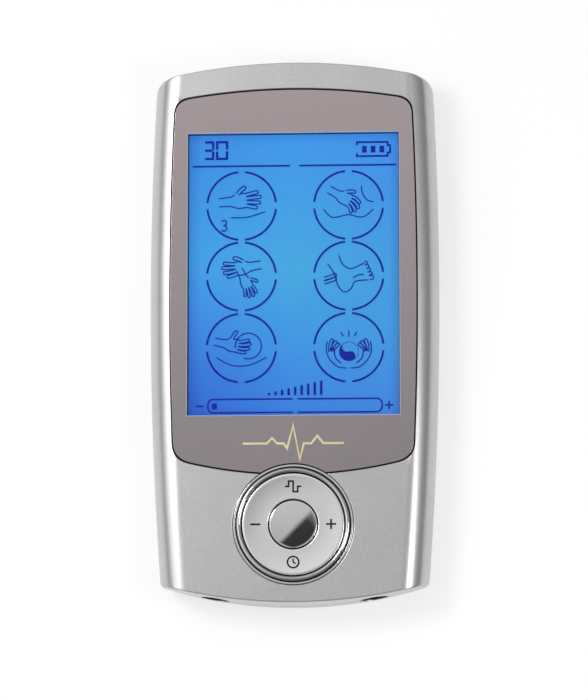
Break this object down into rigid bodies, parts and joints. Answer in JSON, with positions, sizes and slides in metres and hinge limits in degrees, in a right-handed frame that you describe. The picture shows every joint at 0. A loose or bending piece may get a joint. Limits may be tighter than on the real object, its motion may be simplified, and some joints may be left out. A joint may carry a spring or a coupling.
{
  "type": "tens unit",
  "caption": "Hand-held muscle stimulator: slim bowed case with rounded shoulders, tall mirror-tinted display window, round four-way keypad, output sockets in the end wall.",
  "frame": {"origin": "centre of the flat back, under the middle of the case's box", "axes": "+X to the right when looking at the display, +Y towards the display end, +Z out of the display"},
  "size_m": [0.0578, 0.109, 0.0108],
  "materials": {
    "silver_paint": "fine metallic silver paint on moulded plastic, satin-gloss clear coat",
    "plate_foil": "blank brushed foil plate",
    "steel": "plated steel",
    "mirror_tint": "gloss acrylic with a warm grey half-mirror tint behind it",
    "black_plastic": "matte black moulded plastic",
    "blue_display": "backlit blue liquid crystal display",
    "white_plastic": "white moulded plastic",
    "silicone": "matte grey silicone",
    "chrome": "polished bright plating",
    "satin_silver": "satin silver plating",
    "board_green": "green solder mask over glass epoxy",
    "ferrite": "dull dark ferrite",
    "battery_foil": "satin silver foil",
    "red_insulation": "red wire insulation"
  },
  "bodies": {
    "case": {"front_housing": "silver_paint", "rear_housing": "silver_paint", "rating_plate": "plate_foil", "case_screw_1": "steel", "case_screw_2": "steel", "case_screw_3": "steel", "case_screw_4": "steel", "display_window": "mirror_tint", "window_adhesive": "black_plastic", "lcd_glass": "blue_display", "lcd_polarizer": "blue_display", "lcd_backlight": "white_plastic", "lcd_holder": "black_plastic", "lcd_zebra_strip": "silicone", "keypad_trim_ring": "chrome", "keypad_membrane": "silicone", "snap_dome_centre": "steel", "snap_dome_mode": "steel", "snap_dome_timer": "steel", "snap_dome_minus": "steel", "snap_dome_plus": "steel", "main_pcb": "board_green", "board_screw_1": "steel", "board_screw_2": "steel", "board_screw_3": "steel", "board_screw_4": "steel", "microcontroller": "black_plastic", "output_driver": "black_plastic", "charge_controller": "black_plastic", "boost_inductor": "ferrite", "storage_capacitor": "battery_foil", "crystal": "steel", "buzzer": "black_plastic", "pulse_transformer_left": "ferrite", "pulse_transformer_right": "ferrite", "battery_connector": "white_plastic", "output_jack_left": "black_plastic", "output_jack_right": "black_plastic", "jack_terminal_left": "steel", "jack_terminal_right": "steel", "charging_socket": "steel", "charging_tongue": "black_plastic", "battery_cell": "battery_foil", "battery_pad": "silicone", "battery_lead_positive": "red_insulation", "battery_lead_negative": "black_plastic"},
    "rocker": {"nav_rocker_bar": "black_plastic"},
    "ring": {"nav_ring": "satin_silver"},
    "centre_button": {"centre_button_cap": "chrome", "centre_button_plunger": "black_plastic"}
  },
  "joints": [
    {"name": "mode_timer_tilt", "type": "hinge", "parent": "case", "child": "rocker", "pos_m": [0, -0.0387, 0.0088], "axis": [1, 0, 0], "range_deg": [-1.9, 1.9], "stiffness_Nm_per_rad": 0.34},
    {"name": "minus_plus_tilt", "type": "hinge", "parent": "rocker", "child": "ring", "pos_m": [0, -0.0387, 0.0088], "axis": [0, 1, 0], "range_deg": [-1.9, 1.9], "stiffness_Nm_per_rad": 0.34},
    {"name": "centre_press", "type": "slide", "parent": "case", "child": "centre_button", "axis": [0, 0, -1], "range_m": [0, 0.00025], "stiffness_N_per_m": 6000}
  ]
}
